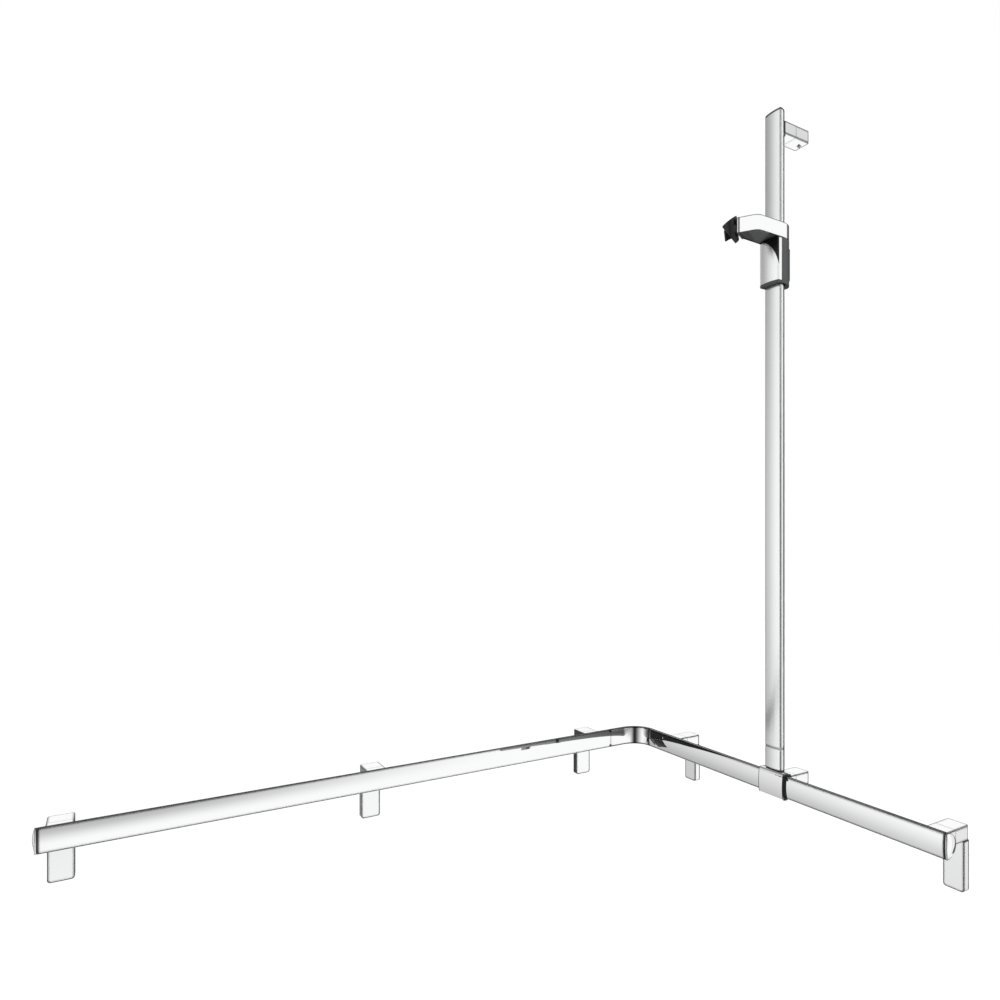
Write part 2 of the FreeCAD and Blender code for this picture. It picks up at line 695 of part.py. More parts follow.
def tee_bolt():
    head_bottom = -HALF - TEE_GROW
    shank_bottom = -HALF - TEE_LINER
    top = HALF + TEE_GROW + SPLICE_FLOOR + OVERCUT
    head = tee_bolt_bore(BOLT_HEAD_RADIUS, head_bottom, shank_bottom)
    shank = tee_bolt_bore(BOLT_RADIUS, shank_bottom, top)
    return head.fuse(shank).cut(hex_key(tee_bolt_place(head_bottom), UP, KEY_ACROSS))


# Slider: a moulded carriage with a bright front shell, under an arm that wraps its top
def body_block(bottom, top, grow=0.0):
    edge = -SLIDER_PROUD - grow
    half = SLIDER_WIDTH / 2 + grow
    depth = SLIDER_DEPTH + grow
    outline = bow_wire(upright_origin(bottom), ALONG_X, ALONG_Y, half, depth, edge, SLIDER_CROWN)
    block = Part.Face(outline).extrude(UP * (top - bottom))
    radius = max(SLIDER_EDGE_RADIUS + grow, 0.3)
    corner = edge - EDGE_FROM_WALL
    return fillet_edges(block, radius,
                        lambda line: runs_along(line, UP) and abs(middle(line).x - corner) < 0.1)


def shell_zone(bottom, top):
    side = SLIDER_WIDTH / 2 + OVERCUT
    edge = EDGE_FROM_WALL + SLIDER_PROUD
    return box(-edge - SLIDER_CROWN - OVERCUT, -edge + SHELL_RETURN, -side, side, bottom, top)


def slider_front_shell():
    bottom = SLIDER_BOTTOM + FLANGE_HEIGHT
    skin = body_block(bottom, SLIDER_ARM_BOTTOM)
    skin = skin.cut(body_block(bottom - OVERCUT, SLIDER_ARM_BOTTOM + OVERCUT, -SHELL_THICKNESS))
    return skin.common(shell_zone(bottom, SLIDER_ARM_BOTTOM))


def lever_top():
    return SLIDER_ARM_BOTTOM - LEVER_TOP_DROP


def lever_axis():
    return V(-LEVER_PIN_OUT, 0, lever_top() - LEVER_PIN_DROP)


def shoe_bounds(gap):
    high = lever_axis().z - SHOE_DROP + SHOE_HEIGHT / 2 + gap
    return SHOE_WIDTH / 2 + gap, high - SHOE_HEIGHT - 2 * gap, high


def lever_inner():
    return LEVER_PROUD - LEVER_THICKNESS


# The strip of the carriage's back that the lever covers, from the given offset of its surface outwards
def back_strip(low, high, half, inner, outer):
    skin = body_block(low, high, outer).cut(body_block(low - OVERCUT, high + OVERCUT, inner))
    rear = EDGE_FROM_WALL - SLIDER_DEPTH
    return skin.common(box(-rear - SLIDER_DEPTH / 2, -rear + SLIDER_DEPTH, -half, half, low, high))


def pin_rod(radius, half):
    return rod(radius, lever_axis() - ALONG_Y * half, ALONG_Y, 2 * half)


def knuckle(radius, half):
    barrel = pin_rod(radius, half)
    reach = LEVER_PIN_OUT - (EDGE_FROM_WALL - SLIDER_DEPTH) + lever_inner() + OVERCUT
    at = lever_axis()
    web = box(at.x, at.x + reach, -half, half, at.z - radius, at.z + radius)
    return barrel.fuse(web)


def slider_carriage():
    carriage = body_block(SLIDER_BOTTOM, SLIDER_ARM_BOTTOM)
    roof = SLIDER_TOP - ARM_SHELL_WALL
    carriage = carriage.fuse(body_block(SLIDER_ARM_BOTTOM - OVERCUT, roof, -ARM_SHELL_WALL))
    carriage = carriage.cut(slider_front_shell())
    carriage = carriage.cut(upright_bar(SLIDER_BOTTOM - OVERCUT, roof + OVERCUT, CARRIAGE_GAP))
    side = LEVER_WIDTH / 2 + LEVER_GAP
    low = lever_top() - LEVER_LENGTH - LEVER_GAP
    high = lever_top() + LEVER_TOP_GAP
    carriage = carriage.cut(back_strip(low, high, side, lever_inner() - LEVER_GAP, LEVER_PROUD + OVERCUT))
    carriage = carriage.cut(knuckle(KNUCKLE_RADIUS + KNUCKLE_GAP, KNUCKLE_HALF + KNUCKLE_GAP))
    half, low, high = shoe_bounds(SHOE_SLOT_GAP)
    carriage = carriage.cut(box(-RAIL_BACK_OUT - CARRIAGE_GAP, 0, -half, half, low, high))
    return carriage.cut(pin_rod(LEVER_PIN_RADIUS + LEVER_PIN_CLEARANCE, SLIDER_WIDTH / 2))


def glide(bottom):
    ring = upright_bar(bottom, bottom + GLIDE_HEIGHT, CARRIAGE_GAP)
    return ring.cut(upright_bar(bottom - OVERCUT, bottom + GLIDE_HEIGHT + OVERCUT, GLIDE_GAP))


# Plan of the slider arm: corners with their radii
def head_direction():
    turn = math.radians(HEAD_TURN)
    return V(-math.cos(turn), math.sin(turn), 0)


def head_across():
    turn = math.radians(HEAD_TURN)
    return V(math.sin(turn), math.cos(turn), 0)


def near_elbow():
    return V(-ARM_REACH, -SLIDER_WIDTH / 2, 0)


def arm_corners():
    near_tip = near_elbow() + head_direction() * HEAD_LENGTH
    far_tip = near_tip + head_across() * HEAD_WIDTH
    side = SLIDER_WIDTH / 2
    return [
        (V(-EDGE_FROM_WALL, -side, 0), HEAD_EDGE_RADIUS),
        (near_elbow(), ARM_ELBOW_RADIUS),
        (near_tip, HEAD_EDGE_RADIUS),
        (far_tip, HEAD_EDGE_RADIUS),
        (V(-EDGE_FROM_WALL, side, 0), HEAD_EDGE_RADIUS),
    ]


def rounded_outline(corners):
    edges = []
    starts, ends, arcs = [], [], []
    count = len(corners)
    for k in range(count):
        point, radius = corners[k]
        before = (corners[k - 1][0] - point).normalize()
        after = (corners[(k + 1) % count][0] - point).normalize()
        half = math.acos(max(-1.0, min(1.0, before.dot(after)))) / 2
        trim = radius / math.tan(half)
        bisector = (before + after).normalize()
        centre = point + bisector * (radius / math.sin(half))
        start = point + before * trim
        end = point + after * trim
        starts.append(start)
        ends.append(end)
        arcs.append(Part.Arc(start, centre - bisector * radius, end).toShape())
    for k in range(count):
        edges.append(arcs[k])
        edges.append(Part.LineSegment(ends[k], starts[(k + 1) % count]).toShape())
    return Part.Wire(edges)


def arm_block(bottom, top, inset):
    wire = rounded_outline(arm_corners())
    if inset > 0:
        wire = wire.makeOffset2D(-inset)
    face = Part.Face(wire)
    face.translate(UP * bottom)
    arm = face.extrude(UP * (top - bottom))
    return arm.fuse(body_block(bottom, top, -inset)).removeSplitter()


def swivel_origin():
    near_tip = near_elbow() + head_direction() * HEAD_LENGTH
    return near_tip + head_across() * (HEAD_WIDTH / 2) + UP * (SLIDER_TOP - ARM_SHELL_HEIGHT / 2)


def slider_arm():
    shell = arm_block(SLIDER_ARM_BOTTOM, SLIDER_TOP, 0.0)
    shell = fillet_edges(shell, ARM_EDGE_RADIUS, lambda edge: middle(edge).z > SLIDER_TOP - 0.01)
    shell = shell.cut(arm_block(SLIDER_ARM_BOTTOM - OVERCUT, SLIDER_TOP - ARM_SHELL_WALL, ARM_SHELL_WALL))
    shell = shell.cut(upright_bar(SLIDER_ARM_BOTTOM, SLIDER_TOP + OVERCUT, ARM_ROOF_GAP))
    return shell.cut(swivel_rod(SHAFT_RADIUS + SWIVEL_GAP, -2 * ARM_SHELL_WALL, OVERCUT))


def swivel_rod(radius, start, end):
    direction = head_direction()
    return rod(radius, swivel_origin() + direction * start, direction, end - start)


# Places a shape that is built with x out of the arm's end, y into the room and z up
def at_swivel(shape):
    placed = shape.copy()
    placed.rotate(V(0, 0, 0), UP, 180 - HEAD_TURN)
    placed.translate(swivel_origin())
    return placed


# The end of the arm's hollow, which the swivel's bearing fills
def bearing_zone():
    inner = -ARM_SHELL_WALL - BEARING_LENGTH
    return at_swivel(box(inner, OVERCUT, -HEAD_WIDTH, HEAD_WIDTH, -ARM_SHELL_HEIGHT, ARM_SHELL_HEIGHT))


def slider_arm_core():
    low = SLIDER_ARM_BOTTOM + CORE_INSET
    high = low + CORE_THICKNESS
    core = arm_block(low, high, ARM_SHELL_WALL).cut(bearing_zone())
    core = core.cut(body_block(low - OVERCUT, high + OVERCUT, -ARM_SHELL_WALL))
    return max(core.Solids, key=lambda solid: -solid.BoundBox.XMin)


def swivel_bearing():
    block = arm_block(SLIDER_ARM_BOTTOM + CORE_INSET, SLIDER_TOP - ARM_SHELL_WALL, ARM_SHELL_WALL)
    block = block.common(bearing_zone())
    return block.cut(swivel_rod(SHAFT_RADIUS + SHAFT_CLEARANCE, -BEARING_LENGTH - 2 * ARM_SHELL_WALL, 0))


# The bright end ring has the arm's own section
def swivel_ring():
    wide = HEAD_WIDTH / 2
    high = ARM_SHELL_HEIGHT / 2
    ring = box(0, RING_THICKNESS, -wide, wide, -high, high)
    ring = fillet_edges(ring, HEAD_EDGE_RADIUS, lambda edge: middle(edge).x > 0.01)
    return at_swivel(ring).cut(swivel_rod(SHAFT_RADIUS + SWIVEL_GAP, -OVERCUT, RING_THICKNESS + OVERCUT))


def nut_face():
    return -ARM_SHELL_WALL - BEARING_LENGTH - SWIVEL_GAP


def swivel_shaft():
    end = nut_face() - WASHER_THICKNESS - SWIVEL_NUT_THICKNESS - OVERCUT
    return swivel_rod(SHAFT_RADIUS, end, socket_face())


def swivel_washer():
    washer = swivel_rod(SWIVEL_NUT_RADIUS + OVERCUT, nut_face() - WASHER_THICKNESS, nut_face())
    return washer.cut(swivel_rod(SHAFT_RADIUS, nut_face() - 2 * WASHER_THICKNESS, nut_face() + OVERCUT))


def swivel_nut():
    top = nut_face() - WASHER_THICKNESS
    direction = head_direction()
    radius = SWIVEL_NUT_RADIUS
    start = swivel_origin() + direction * (top - SWIVEL_NUT_THICKNESS)
    corners = []
    for k in range(7):
        turn = math.pi * k / 3
        corners.append(start + head_across() * (radius * math.cos(turn)) + UP * (radius * math.sin(turn)))
    nut = Part.Face(Part.makePolygon(corners)).extrude(direction * SWIVEL_NUT_THICKNESS)
    return nut.cut(swivel_rod(SHAFT_RADIUS, top - 2 * SWIVEL_NUT_THICKNESS, top + OVERCUT))


# Conical socket for the hand shower: a cup with a tapered bore on a round neck, leaning into the room.
# Its outer side has a slit for the hose, and below the slanted front edge its near wall is open.
def socket_face():
    return RING_THICKNESS + SWIVEL_GAP


def socket_out():
    return socket_face() + SOCKET_STANDOFF + SOCKET_RADIUS


def socket_axis():
    tilt = math.radians(SOCKET_TILT)
    return UP * math.cos(tilt) - head_across() * math.sin(tilt)


def socket_bottom():
    return swivel_origin() + head_direction() * socket_out() - socket_axis() * SOCKET_DROP


# Leans a shape that is built upright on the middle of the cup's foot
def leaned(shape):
    placed = shape.copy()
    placed.translate(V(0, 0, -SOCKET_DROP))
    placed.rotate(V(0, 0, 0), ALONG_X, -SOCKET_TILT)
    placed.translate(V(socket_out(), 0, 0))
    return placed


def socket_bore():
    spread = (SOCKET_BORE_TOP - SOCKET_BORE_BOTTOM) / SOCKET_LENGTH * SOCKET_RADIUS
    length = SOCKET_LENGTH + 2 * SOCKET_RADIUS
    start = V(0, 0, -SOCKET_RADIUS)
    return Part.makeCone(SOCKET_BORE_BOTTOM - spread, SOCKET_BORE_TOP + spread, length, start)


def handset_socket():
    reach = 3 * SOCKET_LENGTH
    half = SOCKET_SLIT / 2
    cup = rod(SOCKET_RADIUS, V(0, 0, -SOCKET_RADIUS), UP, SOCKET_LENGTH + 2 * SOCKET_RADIUS)
    mouth = box(-reach, reach, -reach, reach, 0, reach)
    mouth.rotate(V(0, 0, 0), ALONG_Y, SOCKET_MOUTH_SLOPE)
    mouth.translate(V(0, 0, SOCKET_LENGTH))
    foot = box(-reach, reach, -reach, reach, -reach, 0)
    foot.rotate(V(0, 0, 0), ALONG_X, -SOCKET_FOOT_SLOPE)
    slit = box(0, reach, -half, half, -reach, reach)
    cup = leaned(cup.cut(mouth).cut(foot).cut(slit))

    # The front edge starts at the mouth's outermost point
    corner_height = SOCKET_LENGTH - SOCKET_RADIUS * math.tan(math.radians(SOCKET_MOUTH_SLOPE))
    corner_height = (corner_height - SOCKET_DROP) * math.cos(math.radians(SOCKET_TILT))
    front = box(0, reach, -half, reach, -reach, reach)
    front.rotate(V(0, 0, 0), ALONG_Y, SOCKET_FRONT_SLOPE)
    front.translate(V(socket_out() + SOCKET_RADIUS, 0, corner_height))

    neck = rod(SOCKET_NECK_RADIUS, V(socket_face(), 0, 0), ALONG_X, SOCKET_STANDOFF + SOCKET_RADIUS)
    body = cup.cut(front).fuse(neck).cut(leaned(socket_bore()))
    return at_swivel(max(body.Solids, key=lambda solid: solid.Volume))


# Release lever: a curved paddle in the carriage's back, hung on a pin, that carries the brake shoe
def release_lever():
    top = lever_top()
    half = LEVER_WIDTH / 2
    paddle = back_strip(top - LEVER_LENGTH, top, half, lever_inner(), LEVER_PROUD)
    outline = box(-EDGE_FROM_WALL, 0, -half, half, top - LEVER_LENGTH, top)
    outline = fillet_edges(outline, LEVER_CORNER, lambda edge: runs_along(edge, ALONG_X))
    lever = paddle.common(outline).fuse(knuckle(KNUCKLE_RADIUS, KNUCKLE_HALF))
    notch = SPRING_NOTCH / 2
    at = lever_axis()
    window = box(at.x - KNUCKLE_RADIUS - OVERCUT, at.x + KNUCKLE_RADIUS, -notch, notch,
                 at.z - KNUCKLE_RADIUS - OVERCUT, at.z + KNUCKLE_RADIUS + OVERCUT)
    return lever.cut(window).cut(pin_rod(LEVER_PIN_RADIUS + LEVER_PIN_CLEARANCE, LEVER_WIDTH))


def brake_shoe():
    half, low, high = shoe_bounds(0.0)
    block = box(-RAIL_BACK_OUT - CARRIAGE_GAP, 0, -half, half, low, high)
    block = block.cut(upright_bar(low - OVERCUT, high + OVERCUT, SHOE_GAP))
    block = block.common(body_block(low, high, lever_inner()))
    return max(block.Solids, key=lambda solid: solid.BoundBox.XMax)


def lever_pin():
    return pin_rod(LEVER_PIN_RADIUS, LEVER_PIN_HALF)


def lever_spring():
    length = SPRING_NOTCH - 2 * SPRING_WIRE - 2 * KNUCKLE_GAP
    helix = Part.makeHelix(length / SPRING_TURNS, length, SPRING_RADIUS)
    section = Part.Wire(Part.makeCircle(SPRING_WIRE / 2, V(SPRING_RADIUS, 0, 0), ALONG_Y))
    coil = Part.Wire(helix.Edges).makePipeShell([section], True, True)
    coil.rotate(V(0, 0, 0), ALONG_X, -90)
    coil.translate(lever_axis() - ALONG_Y * (length / 2))
    return coil


def build_hand_rail():
    export(long_rail(), "long_rail")
    export(short_rail(), "short_rail")
    export(corner_elbow(), "corner_elbow")
    export(group([tap_screw(place, inward) for place, inward in elbow_screw_places()]), "elbow_screws")
    long_end = cap(long_origin(LONG_LEG - CAP_THICKNESS), ALONG_Y, UP, ALONG_X * -1, CAP_THICKNESS)
    short_end = cap(short_origin(SHORT_LEG - CAP_THICKNESS), ALONG_X, UP, ALONG_Y * -1, CAP_THICKNESS)
    export(long_end.cut(long_seams()[1]), "long_end_cap")
    export(short_end.cut(short_seams()[1]), "short_end_cap")


def build_upright():
    export(upright_rail(), "upright_rail")
    top_cap = cap(upright_origin(UPRIGHT_TOP - TOP_CAP_THICKNESS), ALONG_X, ALONG_Y, UP, TOP_CAP_THICKNESS)
    export(top_cap, "upright_top_cap")
    export(upright_base(), "upright_base")
    export(upright_splice(), "upright_splice")
    export(group([tap_screw(place, inward) for place, inward in splice_screw_places()]), "splice_screws")
    export(tee_shell(), "tee_shell")
    export(tee_liner(), "tee_liner")
    export(tee_gasket(), "tee_gasket")
    export(tee_bolt(), "tee_bolt")


def build_slider():
    export(slider_carriage(), "slider_carriage")
    export(slider_front_shell(), "slider_front_shell")
    export(slider_arm(), "slider_arm")
    export(slider_arm_core(), "slider_arm_core")
    export(glide(SLIDER_BOTTOM + GLIDE_INSET), "lower_glide")
    export(glide(SLIDER_TOP - ARM_SHELL_WALL - GLIDE_INSET / 2 - GLIDE_HEIGHT), "upper_glide")
    export(release_lever(), "release_lever")
    export(brake_shoe(), "brake_shoe")
    export(lever_pin(), "lever_pin")
    export(lever_spring(), "lever_spring")


def build_socket():
    export(swivel_ring(), "swivel_ring")
    export(swivel_bearing(), "swivel_bearing")
    export(swivel_shaft(), "swivel_shaft")
    export(swivel_washer(), "swivel_washer")
    export(swivel_nut(), "swivel_nut")
    export(handset_socket(), "handset_socket")


os.makedirs("parts", exist_ok=True)
build_hand_rail()
build_brackets()
build_upright()
build_slider()
build_socket()
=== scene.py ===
"""A corner shower rail with a sliding hand shower holder: its finishes, studio and view."""

import logging
import math
from dataclasses import dataclass, field
from enum import Enum

import bmesh
import bpy
from mathutils import Matrix, Vector

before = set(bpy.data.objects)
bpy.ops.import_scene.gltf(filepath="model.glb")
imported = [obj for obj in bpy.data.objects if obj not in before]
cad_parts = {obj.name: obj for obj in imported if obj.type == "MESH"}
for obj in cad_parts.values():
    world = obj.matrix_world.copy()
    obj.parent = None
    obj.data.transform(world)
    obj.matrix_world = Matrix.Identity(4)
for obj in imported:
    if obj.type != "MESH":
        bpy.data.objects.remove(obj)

LOG = logging.getLogger("shower_rail")
MM = 0.001
HALF_TURN = 180.0
SLATE = (0.046, 0.047, 0.049)
Point = tuple[float, float, float]


class Finish(Enum):
    """The finishes, each with its material's name and the record's slot that it belongs to."""

    CHROME = ("mirror_chrome", "chrome")
    RAIL_CHROME = ("hand_rail_chrome", "chrome")
    ELBOW_CHROME = ("elbow_chrome", "chrome")
    CAP_CHROME = ("end_cap_chrome", "chrome")
    UPRIGHT_CHROME = ("upright_chrome", "chrome")
    FINE_CHROME = ("fine_edged_chrome", "chrome")
    SHADED_CHROME = ("corner_side_chrome_painted_shade", "chrome")
    SHELL_CHROME = ("slider_shell_chrome_painted_reflection", "chrome")
    STEEL = ("satin_steel", "steel")
    ALLOY = ("milled_alloy", "alloy")
    GREY_PLASTIC = ("slate_plastic", "grey_plastic")
    CARRIAGE_PLASTIC = ("carriage_plastic_painted_under_shade", "grey_plastic")
    SOCKET_PLASTIC = ("black_plastic", "socket_plastic")
    BLACK_RUBBER = ("black_rubber", "black_rubber")
    GLIDE_PLASTIC = ("glide_plastic", "glide_plastic")

    @property
    def title(self) -> str:
        """Gives the material's name."""
        return self.value[0]

    @property
    def slot(self) -> str:
        """Gives the name of the record's slot."""
        return self.value[1]


class ShaderTree:
    """A short way to place and join the nodes of one shader tree."""

    # The Mix node has several sockets of each name, so its colour sockets are found by their place.
    mix_factor, mix_first, mix_second, mix_result = 0, 6, 7, 2

    def __init__(self, tree: bpy.types.NodeTree) -> None:
        """Starts on a tree.

        Args:
            tree: The node tree to fill.
        """
        self.tree = tree

    def add(self, kind: str, settings: dict | None = None, **inputs: object) -> bpy.types.Node:
        """Adds one node.

        Args:
            kind: The node's type, without the word ShaderNode.
            settings: Properties of the node, by name.
            **inputs: Values or output sockets, by the input's name with underscores for spaces.

        Returns:
            The new node.
        """
        node = self.tree.nodes.new("ShaderNode" + kind)
        for name, value in (settings or {}).items():
            setattr(node, name, value)
        for name, value in inputs.items():
            self.feed(node.inputs[name.replace("_", " ")], value)
        return node

    def feed(self, socket: bpy.types.NodeSocket, value: object) -> None:
        """Links an output to a socket, or sets the socket's value.

        Args:
            socket: The input socket.
            value: An output socket, or a number, vector or colour.
        """
        if isinstance(value, bpy.types.NodeSocket):
            self.tree.links.new(value, socket)
        else:
            socket.default_value = value

    def feed_in_order(self, node: bpy.types.Node, values: tuple[object, ...]) -> None:
        """Feeds the first inputs of a node, one value each.

        Args:
            node: The node.
            values: Its operands, values or output sockets.
        """
        for socket, value in zip(node.inputs, values):
            self.feed(socket, value)

    def group(self, group: bpy.types.NodeTree, **inputs: object) -> bpy.types.Node:
        """Places a node group.

        Args:
            group: The group's tree.
            **inputs: Its values, by the input's name.

        Returns:
            The group node.
        """
        return self.add("Group", {"node_tree": group}, **inputs)

    def math(self, operation: str, *values: object) -> bpy.types.NodeSocket:
        """Adds a Math node.

        Args:
            operation: The operation's name.
            *values: Its operands, numbers or outputs.

        Returns:
            The node's output.
        """
        node = self.add("Math", {"operation": operation})
        self.feed_in_order(node, values)
        return node.outputs[0]

    def vector(self, operation: str, *values: object) -> bpy.types.Node:
        """Adds a Vector Math node.

        Args:
            operation: The operation's name.
            *values: Its operands, vectors or outputs.

        Returns:
            The node.
        """
        node = self.add("VectorMath", {"operation": operation})
        self.feed_in_order(node, values)
        return node

    def object_place(self) -> bpy.types.NodeSocket:
        """Gives the output with the place on the object."""
        return self.add("TexCoord").outputs["Object"]

    def axes(self, vector: bpy.types.NodeSocket) -> bpy.types.bpy_prop_collection:
        """Splits a vector into its outputs X, Y and Z."""
        return self.add("SeparateXYZ", Vector=vector).outputs

    def surface_normal(self) -> bpy.types.NodeSocket:
        """Gives the output with the surface's own normal."""
        return self.add("NewGeometry").outputs["Normal"]

    def ramp(self, value: bpy.types.NodeSocket, low: float, high: float,
             start: float = 0.0, end: float = 1.0) -> bpy.types.NodeSocket:
        """Maps a value smoothly from one span to another.

        Args:
            value: The value's output socket.
            low: Where the span begins.
            high: Where the span ends.
            start: The result at low and before it.
            end: The result at high and past it.

        Returns:
            The mapped value's output.
        """
        node = self.add("MapRange", {"interpolation_type": "SMOOTHSTEP"}, Value=value,
                        From_Min=low, From_Max=high, To_Min=start, To_Max=end)
        return node.outputs["Result"]

    def blend(self, factor: object, first: object, second: object) -> bpy.types.NodeSocket:
        """Mixes two colours.

        Args:
            factor: The share of the second colour.
            first: The first colour or its output.
            second: The second colour or its output.

        Returns:
            The mixed colour's output.
        """
        node = self.add("Mix", {"data_type": "RGBA"})
        self.feed(node.inputs[self.mix_factor], factor)
        self.feed(node.inputs[self.mix_first], first)
        self.feed(node.inputs[self.mix_second], second)
        return node.outputs[self.mix_result]


def grey(level: float) -> tuple[float, float, float, float]:
    """Gives a neutral colour of that level."""
    return (level, level, level, 1.0)


class EffectGroup:
    """A shader node group with number inputs and outputs, to be filled."""

    def __init__(self, name: str, inputs: dict[str, float], outputs: tuple[str, ...]) -> None:
        """Makes the group with its two ends.

        Args:
            name: The group's name.
            inputs: Default values of its inputs, by name.
            outputs: Names of its outputs.
        """
        self.group = bpy.data.node_groups.new(name, "ShaderNodeTree")
        for label, value in inputs.items():
            socket = self.group.interface.new_socket(label, in_out="INPUT", socket_type="NodeSocketFloat")
            socket.default_value = value
        for label in outputs:
            self.group.interface.new_socket(label, in_out="OUTPUT", socket_type="NodeSocketFloat")
        self.tree = ShaderTree(self.group)
        self.given = self.group.nodes.new("NodeGroupInput").outputs
        self.result = self.group.nodes.new("NodeGroupOutput").inputs


@dataclass(frozen=True)
class PaintedEdgeLine:
    """The mask of the narrow strip beside each crisp edge, where metal gets painted dark lines in place of
    the dark reflections of its rounded edges.

    It compares a rounded normal with the true one. The strip is full where their product falls
    to turned, and gone where it reaches flat.
    """

    width: float = 1.2 * MM
    strength: float = 0.8
    samples: int = 16
    turned: float = 0.984
    flat: float = 0.9991

    def make(self) -> bpy.types.NodeTree:
        """Builds the node group.

        Returns:
            A group with the inputs Width and Strength, and the output Mask.
        """
        effect = EffectGroup("painted_edge_line", {"Width": self.width, "Strength": self.strength}, ("Mask",))
        tree = effect.tree
        rounded = tree.add("Bevel", {"samples": self.samples}, Radius=effect.given["Width"])
        likeness = tree.vector("DOT_PRODUCT", rounded.outputs["Normal"], tree.surface_normal())
        line = tree.ramp(likeness.outputs["Value"], self.turned, self.flat, 1.0, 0.0)
        tree.feed(effect.result["Mask"], tree.math("MULTIPLY", line, effect.given["Strength"]))
        return effect.group


@dataclass(frozen=True)
class HandlingMarks:
    """The effect of faint water marks and wiping, as a change of roughness.

    The noise counts as clean up to clear, and as fully marked from marked on.
    """

    scale: float = 9.0
    low: float = 0.03
    high: float = 0.06
    detail: float = 4.0
    mottle: float = 0.6
    clear: float = 0.35
    marked: float = 0.75

    def make(self) -> bpy.types.NodeTree:
        """Builds the node group.

        Returns:
            A group with the inputs Scale, Low and High, and the output Roughness.
        """
        inputs = {"Scale": self.scale, "Low": self.low, "High": self.high}
        effect = EffectGroup("handling_marks", inputs, ("Roughness",))
        tree = effect.tree
        clouds = tree.add("TexNoise", Vector=tree.object_place(), Scale=effect.given["Scale"],
                          Detail=self.detail, Roughness=self.mottle)
        level = tree.ramp(clouds.outputs["Fac"], self.clear, self.marked)
        spread = tree.math("SUBTRACT", effect.given["High"], effect.given["Low"])
        tree.feed(effect.result["Roughness"], tree.math("MULTIPLY_ADD", level, spread, effect.given["Low"]))
        return effect.group


@dataclass(frozen=True)
class MouldedGrain:
    """The effect of the fine eroded grain of a moulded surface."""

    scale: float = 2200.0
    tone: float = 0.25
    fine_detail: float = 3.0
    broad_scale: float = 60.0
    broad_detail: float = 2.0

    def make(self) -> bpy.types.NodeTree:
        """Builds the node group.

        Returns:
            A group with the inputs Scale and Tone, and the outputs Height and Shade.
        """
        effect = EffectGroup("moulded_grain", {"Scale": self.scale, "Tone": self.tone}, ("Height", "Shade"))
        tree = effect.tree
        place = tree.object_place()
        cells = tree.add("TexVoronoi", Vector=place, Scale=effect.given["Scale"])
        fine = tree.add("TexNoise", Vector=place, Scale=effect.given["Scale"], Detail=self.fine_detail)
        broad = tree.add("TexNoise", Vector=place, Scale=self.broad_scale, Detail=self.broad_detail)
        tree.feed(effect.result["Height"],
                  tree.math("MULTIPLY", cells.outputs["Distance"], fine.outputs["Fac"]))
        tree.feed(effect.result["Shade"],
                  tree.math("MULTIPLY_ADD", broad.outputs["Fac"], effect.given["Tone"], 1.0))
        return effect.group


@dataclass(frozen=True)
class PaintedCavityShade:
    """Painted shade for narrow gaps and bores: finds where little light comes in, to darken the colour.

    A place counts as closed up to an openness of shut, and as open from open_air on.
    """

    reach: float = 12.0 * MM
    depth: float = 0.85
    samples: int = 8
    shut: float = 0.35
    open_air: float = 0.9

    def make(self) -> bpy.types.NodeTree:
        """Builds the node group.

        Returns:
            A group with the inputs Reach and Depth, and the output Light.
        """
        effect = EffectGroup("cavity_shade", {"Reach": self.reach, "Depth": self.depth}, ("Light",))
        tree = effect.tree
        seen = tree.add("AmbientOcclusion", {"samples": self.samples}, Distance=effect.given["Reach"])
        closed = tree.ramp(seen.outputs["AO"], self.shut, self.open_air, 1.0, 0.0)
        lost = tree.math("MULTIPLY", closed, effect.given["Depth"])
        tree.feed(effect.result["Light"], tree.math("SUBTRACT", 1.0, lost))
        return effect.group


@dataclass(frozen=True)
class Effects:
    """The node groups that the finishes share."""

    painted_edge_line: bpy.types.NodeTree
    handling: bpy.types.NodeTree
    grain: bpy.types.NodeTree
    cavity_shade: bpy.types.NodeTree


def start_material(name: str) -> tuple[bpy.types.Material, ShaderTree, bpy.types.Node]:
    """Makes a material with an empty tree and a Principled shader.

    Args:
        name: The material's name.

    Returns:
        The material, its tree and its shader node.
    """
    material = bpy.data.materials.new(name)
    material.use_nodes = True
    material.node_tree.nodes.clear()
    tree = ShaderTree(material.node_tree)
    shader = tree.add("BsdfPrincipled")
    tree.add("OutputMaterial", Surface=shader.outputs["BSDF"])
    return material, tree, shader


@dataclass(frozen=True)
class PaintedArmReflection:
    """A painted reflection: the dark curved image of the holder arm, painted on the bright front of the
    slider, in metres.

    Its curve is a quarter of an ellipse with that centre and reach, on the faces before front.
    """

    centre: tuple[float, float] = (0.0245, 0.944)
    reach: tuple[float, float] = (0.0500, 0.0655)
    front: float = -0.0868
    front_fade: float = 1.0 * MM
    softness: float = 0.05

    def mask(self, tree: ShaderTree) -> bpy.types.NodeSocket:
        """Works out where the painted dark image of the arm lies, past a quarter of an ellipse on the front.

        Args:
            tree: The material's tree.

        Returns:
            The mask's output, 1 inside the image.
        """
        place = tree.axes(tree.object_place())
        along = tree.math("SUBTRACT", self.centre[0], place["Y"])
        rise = tree.math("SUBTRACT", place["Z"], self.centre[1])
        across, up = (
            tree.math("POWER", tree.math("MAXIMUM", tree.math("DIVIDE", run, reach), 0.0), 2.0)
            for run, reach in zip((along, rise), self.reach))
        outside = tree.ramp(tree.math("ADD", across, up), 1.0, 1.0 + self.softness)
        facing = tree.ramp(place["X"], self.front - self.front_fade, self.front, 1.0, 0.0)
        return tree.math("MULTIPLY", outside, facing)


